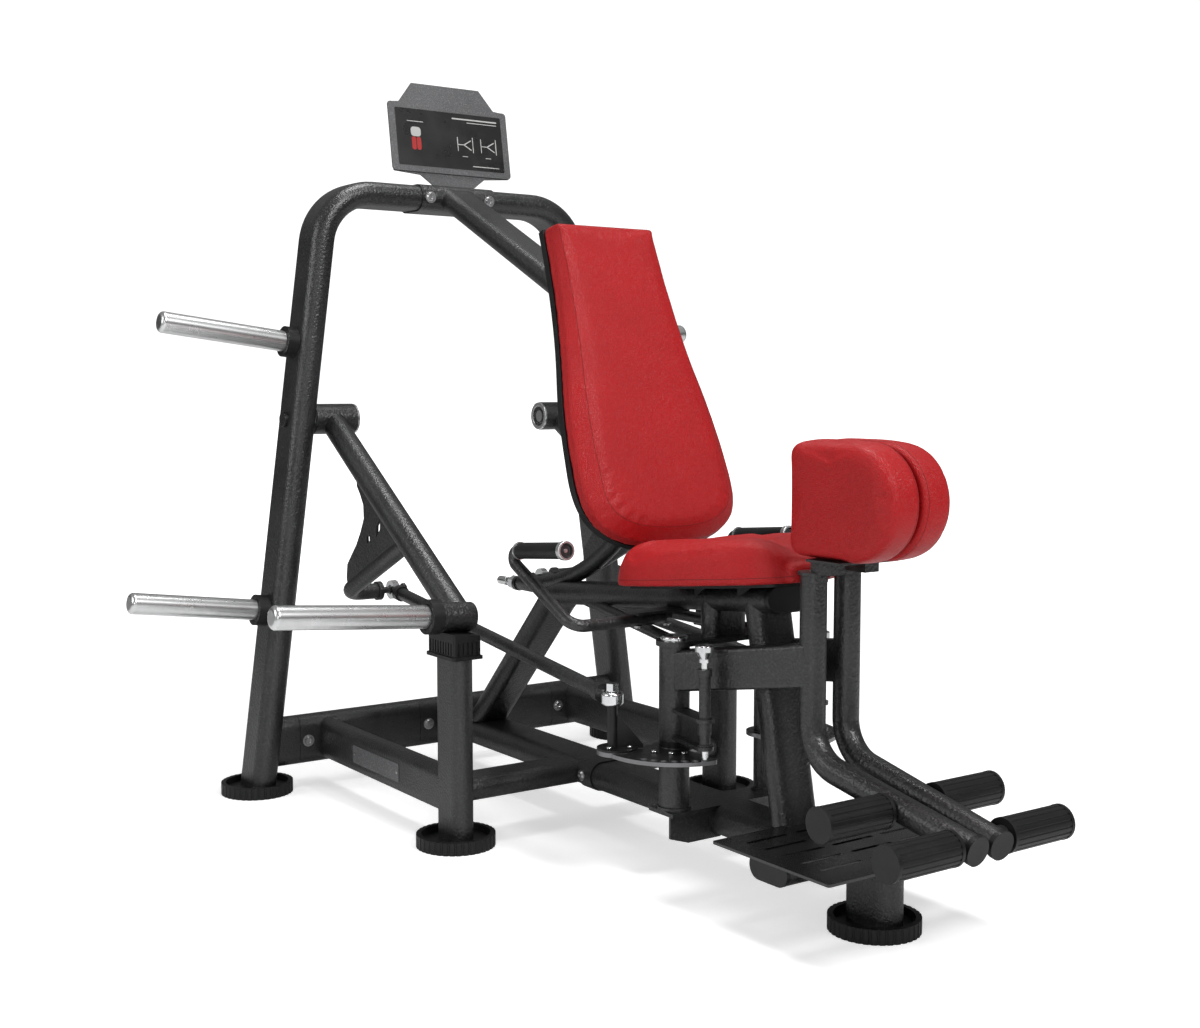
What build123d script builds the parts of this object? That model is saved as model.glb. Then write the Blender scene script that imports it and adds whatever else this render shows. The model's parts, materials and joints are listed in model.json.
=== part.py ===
"""Plate-loaded inner-thigh machine: rear arch with storage horns, weight levers, push rods, selector discs,
swing arms with thigh pads and foot pegs, seat, backrest and foot plate.

Millimetres. +Z is up, X is across the machine and X = 0 is its plane of symmetry. The user faces -Y.
Left-hand nodes lie at -X and are built first; right-hand nodes are their mirror images.
"""
import os
from math import atan, cos, degrees, radians, sin, sqrt, tan

from build123d import *

# ---- driving dimensions -------------------------------------------------------------------------
ARCH_Y = 864.0  # plane of the rear arch; every other station is given as a distance ahead of it
WALL = 3.0  # tube wall
GAP = 0.3  # clearance between bodies that move against each other
PIN_PLAY = 0.05  # radial play of a pin in its bore

HEAVY = (120.0, 60.0)  # flat-oval tube of the arch, rear beam, spine and front post
LIGHT = (100.0, 50.0)  # flat-oval tube of the side frames and the seat frame
BASE_Z = 115.0  # centre height of every base beam

FOOT_R, FOOT_H, FOOT_DISH = 85.0, 28.0, 14.0
FOOT_NOTCHES = 36

LEG_X0, LEG_SLOPE = 540.0, 0.1328  # half-width of the arch at the floor, and how it narrows with height
BAR_Z, ARCH_BEND = 1445.0, 135.0

SIDE_X, SIDE_AHEAD = 363.0, 656.0  # side posts
SIDE_TOP = 420.0
LINK_AHEAD = 628.0
FRONT_AHEAD = 1541.0  # front post
SPINE_SEAM_AHEAD = 727.0
SPINE_END = 1505.0
BEAM_SEAMS = (-439.0, -109.0, 292.0, 439.0)
SEAM = 1.0

HORN_R, HORN_TIP = 25.0, 10.0  # standard plate sleeve
NECK_R = 24.0  # the horn inside its collar
HORN_REACH = 363.0  # tip of a storage horn from the leg's centre line
HORN_HEIGHTS = (1077.5, 436.0)
COLLAR_R, COLLAR_L = 37.0, 28.0

HUB_Z, HUB_R = 898.0, 37.0  # weight lever pivot
HUB_IN, HUB_OUT = 276.0, 383.0
AXLE_R = 15.0
LEVER_R = 30.0
SLEEVE_X, SLEEVE_Z, SLEEVE_R = 351.0, 491.5, 32.0
SLEEVE_IN, SLEEVE_OUT = 30.0, 52.0  # how far the sleeve reaches to either side of the lever
SLEEVE_TILT = 4.6  # degrees, tip up
LOAD_HORN_REACH = 425.0
CRANK_R = 19.0
CRANK_ROOT = (429.0, 633.0)  # ahead of the arch, height
CRANK_ELBOW = (97.0, 479.0)
BALL_REAR = (218.0, 97.0, 479.0)  # X, ahead, height
BALL_R = 14.0
STUD_R = 8.0
STUD_PLAY = 3.8  # the stud on the crank is where the linkage is open

PIVOT_X, PIVOT_AHEAD = 123.0, 1107.0  # vertical axis of disc and arm
PIVOT_R, SHAFT_R = 30.5, 20.0
PLATE_TOP = 145.0  # top of the pivot brackets
POST_TOP = 256.0
DISC_TOP, DISC_T, DISC_R = 270.0, 8.0, 142.0
DISC_START, DISC_END = 138.0, 270.0  # the sector's two ends, degrees from +X
HOLE_RING = 128.0
HOLE_STEP, HOLE_COUNT = 9.0, 7
PIN_ANGLE = -101.0  # where the selector pin stands with the arms closed
PIN_R = 7.0
CRANK_PIN = (127.0, 160.0)  # the push rod's post on the disc: radius, degrees
BALL_FRONT_Z = 373.0
ARM_BOTTOM, ARM_TOP = 283.5, 471.0
TOP_PLATE = (472.0, 482.0)

LEG_TUBE_R = 25.0
LEG_TUBE = (42.5, 1417.0)
LEG_TUBE_TOP = 638.0
LEG_TUBE_END = (30.0, 1796.0, 216.0)
LEG_TUBE_BEND = 82.0
ARM_SECTION = (50.0, 80.0)
PEG_R, PEG_IN, PEG_OUT = 31.0, 62.0, 215.0
PEGS = ((1621.0, 246.0), (1777.0, 219.0))  # ahead, height

SEAT_TILT = 5.3
SEAT_REF = (700.0, 519.0)  # a point on the seat frame's centre line: ahead, height
SEAT_BEND = 110.0
SEAT_FRAME_FRONT = 1288.0
BACK_TILT = 22.1
BACK_FOOT = (970.7, 661.0)  # foot of the backrest's front face: ahead, height
BACK_LENGTH = 728.0
PAD_T, BOARD_T = 54.0, 17.0

HANDLE_X, HANDLE_R = 292.0, 12.5
THIGH_PAD = (3.0, 78.0, 1374.0, 1646.0, 668.0, 882.0)  # X in, X out, rear, front, bottom, top

LEG_ANGLE = degrees(atan(LEG_SLOPE))
CENTRE = (-PIVOT_X, ARCH_Y - PIVOT_AHEAD)


# ---- helpers ------------------------------------------------------------------------------------
def ahead(distance):
    """Y of a station so far ahead of the arch."""
    return ARCH_Y - distance


def spot(x, distance, z):
    return Vector(x, ahead(distance), z)


def save(name, *shapes):
    solids = [solid for shape in shapes for solid in shape.solids()]
    for solid in solids:
        solid.label = name
    whole = solids[0] if len(solids) == 1 else Compound(children=solids)
    whole.label = name
    export_step(whole, f"parts/{name}.step")


def flip(shape):
    return mirror(shape, about=Plane.YZ)


def both(shape):
    """A left-hand shape and its mirror image."""
    return [shape, flip(shape)]


def save_sides(name, *left):
    save(f"{name}_left", *left)
    save(f"{name}_right", *[flip(shape) for shape in left])


def frame_at(start, end, long_dir=(1, 0, 0)):
    start, end = Vector(*start), Vector(*end)
    return Plane(origin=start, x_dir=Vector(*long_dir), z_dir=end - start)


def oval(start, end, size, long_dir=(1, 0, 0), wall=WALL):
    """Straight flat-oval tube, its long side along long_dir. A wall of 0 makes it solid."""
    plane = frame_at(start, end, long_dir)
    face = plane * SlotOverall(size[0], size[1])
    if wall:
        face -= plane * SlotOverall(size[0] - 2 * wall, size[1] - 2 * wall)
    return extrude(face, amount=(Vector(*end) - Vector(*start)).length)


def rod(start, end, radius, bore=0.0):
    """Round bar or tube between two points."""
    start, end = Vector(*start), Vector(*end)
    side = (1, 0, 0) if abs((end - start).normalized().X) < 0.9 else (0, 1, 0)
    plane = Plane(origin=start, x_dir=(end - start).cross(Vector(*side)), z_dir=end - start)
    face = plane * Circle(radius)
    if bore:
        face -= plane * Circle(bore)
    return extrude(face, amount=(end - start).length)


def upright(x, y, low, high, radius, bore=0.0):
    return rod((x, y, low), (x, y, high), radius, bore)


def block(low, high):
    low, high = Vector(*low), Vector(*high)
    size = high - low
    return Pos(*((low + high) / 2)) * Box(size.X, size.Y, size.Z)


def bent_round(points, radii, radius, bore=0.0):
    """Round tube bent along straight runs and tangent arcs."""
    path = FilletPolyline(*points, radius=radii)
    plane = Plane(origin=path @ 0, z_dir=path % 0)
    tube = sweep(plane * Circle(radius), path=path)
    if bore:
        tube -= sweep(plane * Circle(bore), path=path)
    return tube


def bent_oval(points, bend, size, long_dir, wall=WALL):
    """Flat-oval tube bent along straight runs and tangent arcs."""
    path = FilletPolyline(*points, radius=bend)
    plane = Plane(origin=path @ 0, x_dir=Vector(*long_dir), z_dir=path % 0)
    tube = sweep(plane * SlotOverall(size[0], size[1]), path=path)
    if wall:
        inner = plane * SlotOverall(size[0] - 2 * wall, size[1] - 2 * wall)
        tube -= sweep(inner, path=path)
    return tube


def button_bolt(point, direction, radius=11.0, height=6.0):
    """Domed head with a hexagon recess and a washer, standing on a face at the point."""
    plane = Plane(origin=Vector(*point), z_dir=Vector(*direction))
    head = extrude(plane * Circle(radius), amount=height, taper=28)
    recess = extrude(plane.offset(height - 3) * RegularPolygon(radius * 0.42, 6), amount=4)
    washer = extrude(plane * Circle(radius + 2.5), amount=1.2)
    return head + washer - recess


def soften(cushion, face_plane, radius):
    """Round the rim of a cushion's face, the one lying in the plane given."""
    rim = [edge for edge in cushion.edges()
           if all(abs(face_plane.to_local_coords(edge @ share).Z) < 0.01 for share in (0, 0.5, 1))]
    return fillet(rim, radius)


def leg_x(z):
    """X of the left leg's centre line at a height."""
    return -(LEG_X0 - LEG_SLOPE * z)


# ---- rear arch, base beams and feet -------------------------------------------------------------
def arch(wall=WALL):
    points = [
        (leg_x(0), ARCH_Y, 0),
        (leg_x(BAR_Z), ARCH_Y, BAR_Z),
        (-leg_x(BAR_Z), ARCH_Y, BAR_Z),
        (-leg_x(0), ARCH_Y, 0),
    ]
    tube = bent_oval(points, ARCH_BEND, HEAVY, (0, 1, 0), wall)
    return tube - block((-900, 0, -50), (900, 2000, FOOT_DISH))


def side_post(wall=WALL):
    x, y = -SIDE_X, ahead(SIDE_AHEAD)
    return oval((x, y, FOOT_DISH), (x, y, SIDE_TOP), LIGHT, (0, 1, 0), wall)


def front_post(wall=WALL):
    y = ahead(FRONT_AHEAD)
    return oval((0, y, FOOT_DISH), (0, y, PLATE_TOP), HEAVY, (0, 1, 0), wall)


def rear_beam(wall=WALL):
    reach = LEG_X0
    return oval((-reach, ARCH_Y, BASE_Z), (reach, ARCH_Y, BASE_Z), HEAVY, (0, 0, 1), wall)


def side_beam(wall=WALL):
    start, end = spot(-SIDE_X, 0, BASE_Z), spot(-SIDE_X, SIDE_AHEAD, BASE_Z)
    return oval(start, end, LIGHT, (0, 0, 1), wall)


def link_beam(wall=WALL):
    start, end = spot(-SIDE_X, LINK_AHEAD, BASE_Z), spot(0, LINK_AHEAD, BASE_Z)
    return oval(start, end, LIGHT, (0, 1, 0), wall)


def spine(wall=WALL):
    start, end = spot(0, 0, BASE_Z), spot(0, SPINE_END, BASE_Z)
    return oval(start, end, HEAVY, (1, 0, 0), wall)


def foot(x, y):
    outline = Circle(FOOT_R)
    for turn in PolarLocations(FOOT_R + 1.4, FOOT_NOTCHES):
        outline -= turn * Circle(3.4)
    disc = extrude(outline, amount=FOOT_H)
    dish = extrude(Plane.XY.offset(FOOT_DISH) * Circle(FOOT_R - 14), amount=FOOT_H, taper=-12)
    return Pos(x, y, 0) * (disc - dish)


def bumper():
    """Rubber block on a side post, its top sloped like the lever's sleeve, ribbed on two sides."""
    x, y = -SIDE_X, ahead(SIDE_AHEAD)
    half_x, half_y, skirt = 33.0, 56.0, 4.0
    rest = SLEEVE_Z - SLEEVE_R / cos(radians(SLEEVE_TILT)) - GAP
    slope = tan(radians(SLEEVE_TILT))
    inner, outer = x + half_x, x - half_x
    outline = [
        (outer, SIDE_TOP - 12),
        (inner, SIDE_TOP - 12),
        (inner, rest - slope * (inner + SLEEVE_X)),
        (outer, rest - slope * (outer + SLEEVE_X)),
    ]
    plane = Plane(origin=(0, y + half_y, 0), x_dir=(1, 0, 0), z_dir=(0, -1, 0))
    body = extrude(plane * Polygon(*outline, align=None), amount=2 * half_y)
    body = fillet(body.edges().filter_by(Axis.Z), 5)
    body += fillet(
        block((outer - skirt, y - half_y - skirt, SIDE_TOP - 12), (inner + skirt, y + half_y + skirt, SIDE_TOP - 5))
        .edges()
        .filter_by(Axis.Z),
        7,
    )
    for step in range(-4, 5):
        rib_y = y + 11 * step
        body -= block((outer - 1, rib_y - 2, SIDE_TOP - 2), (outer + 2.5, rib_y + 2, SIDE_TOP + 24))
    for step in range(-2, 3):
        rib_x = x + 11 * step
        body -= block((rib_x - 2, y - half_y - 1, SIDE_TOP - 2), (rib_x + 2, y - half_y + 2.5, SIDE_TOP + 24))
    return body - side_post(0)


def plate_horn(root, out, face, reach):
    """Plate sleeve whose first part is thinner, to sit inside its collar."""
    neck = rod(root + out * face, root + out * (face + COLLAR_L), NECK_R)
    return neck + rod(root + out * (face + COLLAR_L), root + out * reach, HORN_R)


def storage_horn(height):
    out = Vector(-cos(radians(LEG_ANGLE)), 0, sin(radians(LEG_ANGLE)))
    root = Vector(leg_x(height), ARCH_Y, height)
    face = HEAVY[1] / 2
    horn = plate_horn(root, out, face, HORN_REACH)
    tip = horn.edges().sort_by(Axis.X)[0]
    collar = rod(root + out * face, root + out * (face + COLLAR_L), COLLAR_R, NECK_R)
    collar = fillet(collar.edges().sort_by(Axis.X)[0:1], 5)
    return fillet(tip, HORN_TIP), collar


def build_base():
    legs = arch(0)
    beam = rear_beam(0)
    axle_tunnel = rod((-600, ARCH_Y, HUB_Z), (-200, ARCH_Y, HUB_Z), AXLE_R)
    save("rear_arch", arch() - axle_tunnel - flip(axle_tunnel))

    across = rear_beam() - legs
    for seam in BEAM_SEAMS:
        across -= block((seam - SEAM / 2, ARCH_Y - 80, 0), (seam + SEAM / 2, ARCH_Y + 80, 250))
    save("rear_cross_beam", across)

    post = side_post(0)
    save("side_beams", *both(side_beam() - beam - post))
    save("side_posts", *both(side_post()))
    save("link_beams", *both(link_beam() - post - side_beam(0) - spine(0)))

    seam_y = ahead(SPINE_SEAM_AHEAD)
    lid = oval(spot(0, SPINE_END - 4, BASE_Z), spot(0, SPINE_END, BASE_Z), HEAVY, (1, 0, 0), 0)
    joint = [spot(0, distance, BASE_Z) for distance in (679, SPINE_SEAM_AHEAD)]
    sleeve = oval(*joint, (HEAVY[0] + 6, HEAVY[1] + 6), (1, 0, 0), 0) - oval(*joint, HEAVY, (1, 0, 0), 0)
    backbone = (spine() + lid - beam - front_post(0)) + sleeve
    backbone -= block((-70, seam_y - SEAM / 2, 0), (70, seam_y + SEAM / 2, 250))
    nose = max(backbone.solids(), key=lambda solid: -solid.center().Y)
    tail = max(backbone.solids(), key=lambda solid: solid.center().Y)
    save("center_spine", tail, nose)
    save("front_post", front_post())

    left_feet = [foot(leg_x(0), ARCH_Y), foot(-SIDE_X, ahead(SIDE_AHEAD))]
    right_feet = [flip(shape) for shape in left_feet]
    save("leveling_feet", *left_feet, *right_feet, foot(0, ahead(FRONT_AHEAD)))
    save("rubber_bumpers", *both(bumper()))

    pairs = [storage_horn(height) for height in HORN_HEIGHTS]
    save("storage_horns", *[side for horn, _ in pairs for side in both(horn)])
    save("storage_collars", *[side for _, collar in pairs for side in both(collar)])


# ---- top of the arch: sleeve, backrest tube, placard ---------------------------------------------
def back_tube(wall=WALL):
    """Flat-oval tube from the arch's sleeve down to the back of the backrest."""
    slope, length = 0.486, 800.0
    start = spot(0, 30, 1467 - slope * 30)
    end = spot(0, length, 1467 - slope * length)
    return oval(start, end, LIGHT, (1, 0, 0), wall)


def arch_sleeve():
    half = 105.0
    start, end = (-half, ARCH_Y, BAR_Z), (half, ARCH_Y, BAR_Z)
    jacket = oval(start, end, (HEAVY[0] + 7, HEAVY[1] + 7), (0, 1, 0), 0)
    return jacket - oval(start, end, HEAVY, (0, 1, 0), 0)


def placard(base_z, outline, thickness, forward, corner):
    """Flat plate leaning back over the top bar. Its outline is (X, distance up the plate)."""
    lean = radians(9.2)
    origin = Vector(0, ARCH_Y - 28 - forward, base_z)
    plane = Plane(origin=origin, x_dir=(1, 0, 0), z_dir=(0, -cos(lean), sin(lean)))
    plate = extrude(plane * Polygon(*outline, align=None), amount=thickness)
    edges = [edge for edge in plate.edges() if abs(edge.length - thickness) < 0.01]
    return fillet(edges, corner)


def build_top():
    sleeve = arch_sleeve()
    save("arch_sleeve", sleeve)
    save("backrest_tube", back_tube() - oval((-200, ARCH_Y, BAR_Z), (200, ARCH_Y, BAR_Z),
                                             (HEAVY[0] + 7, HEAVY[1] + 7), (0, 1, 0), 0) - back_space())
    base = BAR_Z + HEAVY[1] / 2 + 3.5
    plate = [(-60, 0), (60, 0), (92, 24), (166, 30), (166, 204), (136, 207), (97, 257),
             (-97, 257), (-136, 207), (-166, 204), (-166, 30), (-92, 24)]
    save("placard_bracket", placard(base, plate, 3.0, 0, 3.0) - block((-200, 700, 1300), (200, 1000, base)))
    panel = [(-170, 31), (170, 31), (170, 204), (-170, 204)]
    save("placard_panel", placard(base, panel, 4.0, 3.2 / cos(radians(9.2)), 9.0))


# ---- backrest -----------------------------------------------------------------------------------
def back_plane(depth):
    """Plane parallel to the backrest's face and so far behind it. Local Y runs up the backrest."""
    lean = radians(BACK_TILT)
    normal = Vector(0, -cos(lean), sin(lean))
    return Plane(origin=spot(0, *BACK_FOOT) - normal * depth, x_dir=(1, 0, 0), z_dir=normal)


def back_outline():
    """Narrow flat top, flanks that swell towards a wide round bottom. Half-widths by distance up from the foot."""
    top = BACK_LENGTH
    left = [(-132, top), (-144, 558), (-167, 406), (-182, 332), (-197, 194), (-199, 130), (-180, 66), (-120, 18), (0, 0)]
    right = [(-x, y) for x, y in reversed(left[:-1])]
    flanks = Spline(*left, *right, tangents=[(-0.04, -1), (-0.04, 1)])
    cap = Line((132, top), (-132, top))
    return make_face([flanks, cap])


def back_space():
    """Everything from the board's rear surface forward, used to trim what meets it."""
    return extrude(back_plane(PAD_T + BOARD_T) * Pos(0, 300) * Rectangle(800, 1400), amount=800)


def build_backrest():
    board = extrude(back_plane(PAD_T + BOARD_T) * back_outline(), amount=BOARD_T)
    save("backrest_board", board)
    cushion = extrude(back_plane(PAD_T) * back_outline(), amount=PAD_T)
    save("backrest_pad", soften(cushion, back_plane(0), 14))


# ---- seat ---------------------------------------------------------------------------------------
def seat_z(distance, above=0.0):
    """Height of the seat frame's centre line, or of a line parallel to it, at a station."""
    return SEAT_REF[1] + tan(radians(SEAT_TILT)) * (distance - SEAT_REF[0]) + above / cos(radians(SEAT_TILT))


def seat_frame(wall=WALL):
    points = [spot(0, 150, 114), spot(0, 524, 502.6), spot(0, SEAT_FRAME_FRONT, seat_z(SEAT_FRAME_FRONT))]
    return bent_oval([tuple(point) for point in points], SEAT_BEND, LIGHT, (1, 0, 0), wall)


def front_support(wall=WALL):
    top, foot_point = spot(0, 1237, 580), spot(0, 1334, 100)
    return oval(foot_point, top, LIGHT, (1, 0, 0), wall)


def seat_plane(distance, above):
    lean = radians(SEAT_TILT)
    return Plane(origin=spot(0, distance, seat_z(distance)) + Vector(0, sin(lean), cos(lean)) * above,
                 x_dir=(1, 0, 0), z_dir=(0, sin(lean), cos(lean)))


SEAT_MIDDLE = 1190.0
SEAT_LIFT, SEAT_THICK = 34.0, 77.0  # underside of the cushion above the seat frame's centre line, and its thickness


def seat_outline(inset=0.0):
    """Wide at the rear, drawn in to a rounded tongue in front. Local Y runs to the rear, from the seat's middle."""
    left = [(-189, 200), (-184, 110), (-168, 40), (-146, -40), (-122, -108), (-90, -156), (-46, -178)]
    left = [(x + inset, max(min(y, 200 - inset), inset - 178)) for x, y in left]
    right = [(-x, y) for x, y in left]
    flank = Spline(*left, tangents=[(0.02, -1), (1, -0.15)])
    other = Spline(*right, tangents=[(-0.02, -1), (-1, -0.15)])
    return make_face([flank, other, Line(right[0], left[0]), Line(left[-1], right[-1])])


def build_seat():
    frame = seat_frame() - block((-100, 400, 0), (100, 1200, PLATE_TOP))
    frame -= oval((0, ahead(-80), BASE_Z), (0, ahead(900), BASE_Z), HEAVY, (1, 0, 0), 0)
    save("seat_frame", frame)
    prop = front_support() - seat_frame(0) - block((-100, -700, 0), (100, 0, PLATE_TOP))
    prop = max(prop.solids(), key=lambda solid: solid.volume)
    save("front_support", prop)

    half = LIGHT[1] / 2
    board = extrude(seat_plane(SEAT_MIDDLE, half + 3) * seat_outline(26), amount=SEAT_LIFT - half - 3)
    cleats = [extrude(seat_plane(SEAT_MIDDLE + shift, half) * Rectangle(130, 44), amount=3) for shift in (-80, 52)]
    ears = []
    for station in (1088, 1220):
        top = seat_z(station, half + 3)
        for side in (-1, 1):
            plane = Plane(origin=(side * 56, 0, 0), x_dir=(0, 1, 0), z_dir=(1, 0, 0))
            rise = tan(radians(SEAT_TILT)) * 44
            ear = Polygon((ahead(station), top), (ahead(station), top - 18), (ahead(station + 8), top - 19),
                          (ahead(station + 44), top + rise), align=None)
            ears.append(extrude(plane * ear, amount=3, both=True))
    save("seat_board", board + cleats + ears)
    cushion = extrude(seat_plane(SEAT_MIDDLE, SEAT_LIFT) * seat_outline(), amount=SEAT_THICK)
    tongue = extrude(seat_plane(SEAT_MIDDLE, SEAT_LIFT) * Pos(0, -170) * RectangleRounded(124, 50, 14), amount=34)
    save("seat_pad", soften(cushion, seat_plane(SEAT_MIDDLE, SEAT_LIFT + SEAT_THICK), 20) + tongue)

    low, high = TOP_PLATE
    strut = oval((0, CENTRE[1], high), (0, CENTRE[1], 620), LIGHT, (1, 0, 0)) - seat_frame(0)
    strut = min(strut.solids(), key=lambda solid: solid.center().Z)
    brace = rod((-112, CENTRE[1] + 30, (low + high) / 2), spot(-18, 640, 500), 12, 9)
    brace = brace - seat_frame(0) - top_plate()
    brace = max(brace.solids(), key=lambda solid: solid.volume)
    save("pivot_struts", strut, *both(brace))
    save("pivot_top_plate", top_plate())


def build_handles():
    """Bent tubes fixed under the seat frame, each with a rubber grip at the seat's side."""
    grip_high = spot(-HANDLE_X, 968, 656)
    along = (grip_high - spot(-HANDLE_X, 741, 636)).normalized()
    grip_low = grip_high - along * 160
    base_z = seat_z(1000) - LIGHT[1] / 2 - HANDLE_R - 1
    route = [
        tuple(grip_high + along * 5),
        tuple(spot(-HANDLE_X, 741, 636)),
        tuple(spot(-HANDLE_X, 1000, base_z)),
        tuple(spot(-70, 1000, base_z)),
    ]
    tube = bent_round(route, [16, 30], HANDLE_R)
    for x in (-135, -62):
        tube += block(spot(x - 8, 1010, base_z), spot(x + 8, 990, base_z + HANDLE_R))
    wing = block(spot(-150, 1024, base_z + HANDLE_R), spot(-20, 976, base_z + HANDLE_R + 6)) - seat_frame(0)
    save("seat_handles", *both(tube), *both(wing))
    grip = rod(grip_low, grip_high, 17, HANDLE_R)
    save("handle_grips", *both(grip))
    rear_ring = rod(grip_low - along * 4, grip_low, 18.5, HANDLE_R)
    front_ring = rod(grip_high, grip_high + along * 11, 19.5, 15)
    front_ring = fillet(front_ring.edges().filter_by(GeomType.CIRCLE).group_by(Axis.Y)[0], 1.8) - tube
    screw = rod(grip_high + along * 5, grip_high + along * 8, 4)
    bolts = [button_bolt((x, ahead(1000), base_z - HANDLE_R + 1), (0, 0, -1), 8, 5) - tube for x in (-135, -62)]
    save("handle_trim", *both(rear_ring), *both(front_ring), *both(screw), *both(bolts[0]), *both(bolts[1]))


def rail_height(distance):
    """Centre line of the curved rail behind the backrest: an arc that bends upward to the front."""
    middle, centre_z, radius = 361.0, 1115.0, 606.0
    return centre_z - sqrt(radius**2 - (distance - middle) ** 2)


def build_rail():
    """Curved, perforated strut from the seat frame's rear to the backrest, with its release knob."""
    ends = (349.0, 620.0, 900.0)
    points = [spot(0, distance, rail_height(distance)) for distance in ends]
    path = ThreePointArc(*points)
    plane = Plane(origin=path @ 0, x_dir=(1, 0, 0), z_dir=path % 0)
    curve = sweep(plane * Circle(19), path=path)
    for share in (0.12, 0.24, 0.36, 0.48):
        point, run = path @ share, path % share
        across = run.cross(Vector(1, 0, 0)).normalized()
        curve -= rod(point - across * 30, point + across * 30, 5.5)
    housing_z = 503.0
    housing = rod(spot(0, 328, housing_z), spot(0, 545, housing_z), 15)
    ring = rod(spot(0, 326, housing_z), spot(0, 337, housing_z), 17.5)
    rail = curve + housing + ring - seat_frame(0) - back_space()
    rail = max(rail.solids(), key=lambda solid: solid.volume)
    socket = rod(spot(0, 290, housing_z), spot(0, 380, housing_z), 6 + PIN_PLAY)
    save("backrest_rail", rail - socket)
    stem = rod(spot(0, 262, housing_z), spot(0, 355, housing_z), 6)
    knob = rod(spot(0, 246, housing_z), spot(0, 284, housing_z), 10.5)
    knob = fillet(knob.edges().filter_by(GeomType.CIRCLE), 3)
    hexagon = extrude(Plane(origin=spot(0, 306, housing_z), z_dir=(0, -1, 0)) * RegularPolygon(17.5, 6), amount=20)
    hexagon += rod(spot(0, 299, housing_z), spot(0, 307, housing_z), 13)
    save("release_knob", stem + knob)
    save("knob_nut", hexagon - socket)


# ---- foot plate ---------------------------------------------------------------------------------
def build_foot_plate():
    rear, front, half = 1338.0, 1647.0, 214.0
    plate = block(spot(-half, front, PLATE_TOP), spot(half, rear, PLATE_TOP + 5))
    plate = fillet(plate.edges().filter_by(Axis.Z), 6)
    prop = front_support(0)
    for row in range(5):
        for column in (-120, 0, 120):
            plate -= Pos(column, ahead(1386 + 48.6 * row), PLATE_TOP) * extrude(SlotOverall(100, 9), amount=20, both=True)
    save("foot_plate", plate - prop)
    start, end = spot(-172, 1455, PLATE_TOP - 25), spot(172, 1455, PLATE_TOP - 25)
    cross = oval(start, end, LIGHT, (0, 1, 0)) - spine(0)
    arms = [solid for solid in cross.solids() if abs(solid.center().X) > 60]
    save("foot_plate_tube", *arms)
    cap = oval(spot(-180, 1455, PLATE_TOP - 25), spot(-172, 1455, PLATE_TOP - 25), (102, 50), (0, 1, 0), 0)
    plug = rod((leg_x(HUB_Z) - 40, ARCH_Y, HUB_Z), (leg_x(HUB_Z) - 24, ARCH_Y, HUB_Z), 18)
    plug = fillet(plug.edges().group_by(Axis.X)[0], 3) - arch(0)
    plug -= rod((leg_x(HUB_Z) - 30, ARCH_Y, HUB_Z), (leg_x(HUB_Z), ARCH_Y, HUB_Z), AXLE_R)
    along = (spot(0, SEAT_FRAME_FRONT, seat_z(SEAT_FRAME_FRONT)) - spot(0, 1000, seat_z(1000))).normalized()
    frame_end = spot(0, SEAT_FRAME_FRONT, seat_z(SEAT_FRAME_FRONT)) + along * 1.0
    lid = oval(frame_end, frame_end + along * 12, (LIGHT[0] + 3, LIGHT[1] + 3), (1, 0, 0), 0)
    lid = fillet(lid.edges().group_by(Axis.Y)[0], 3)
    stem = oval(frame_end - along * 15, frame_end, (LIGHT[0] - 2 * WALL, LIGHT[1] - 2 * WALL), (1, 0, 0), 0)
    save("tube_end_caps", *both(cap), *both(plug), lid + stem)


# ---- pivots -------------------------------------------------------------------------------------
def top_plate():
    low, high = TOP_PLATE
    plane = Plane(origin=(0, CENTRE[1], low))
    plate = extrude(plane * SlotOverall(2 * PIVOT_X + 74, 74), amount=high - low)
    shaft = upright(*CENTRE, low - 5, high + 5, SHAFT_R)
    return plate - shaft - flip(shaft)


def build_pivots():
    half_depth = 39.0
    y = CENTRE[1]
    top = block((-156, y - half_depth, PLATE_TOP - 8), (-30, y + half_depth, PLATE_TOP))
    web_line = [(-156, PLATE_TOP - 8), (-30, PLATE_TOP - 8), (-30, 80), (-112, 80), (-156, 94)]
    webs = []
    for face in (y - half_depth, y + half_depth - 6):
        plane = Plane(origin=(0, face + 6, 0), x_dir=(1, 0, 0), z_dir=(0, -1, 0))
        webs.append(extrude(plane * Polygon(*web_line, align=None), amount=6))
    bracket = top + webs[0] + webs[1] - spine(0)
    bracket = max(bracket.solids(), key=lambda solid: solid.volume)
    save("pivot_brackets", *both(bracket))

    post = upright(*CENTRE, PLATE_TOP, POST_TOP, PIVOT_R) + upright(*CENTRE, PLATE_TOP, PLATE_TOP + 6, PIVOT_R + 4)
    post += upright(*CENTRE, POST_TOP, TOP_PLATE[1], SHAFT_R)
    save("pivot_posts", *both(post))
    cap = upright(*CENTRE, TOP_PLATE[1], TOP_PLATE[1] + 9, 28)
    save("pivot_caps", *both(fillet(cap.edges().group_by(Axis.Z)[-1], 4)))


# ---- frame bolts --------------------------------------------------------------------------------
def build_bolts():
    front_face = ARCH_Y - HEAVY[1] / 2
    bolts = [button_bolt((x, front_face, BASE_Z), (0, -1, 0), 12) for x in (-418, -85, 312, 418)]
    sleeve_face = ARCH_Y - (HEAVY[0] + 7) / 2
    bolts += [button_bolt((x, sleeve_face, BAR_Z), (0, -1, 0), 12) for x in (-84, 84)]
    side_y = ahead(693)
    bolts += [button_bolt((side * (HEAVY[0] / 2 + 3), side_y, BASE_Z), (side, 0, 0), 10) for side in (-1, 1)]
    save("frame_bolts", *bolts)


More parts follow.
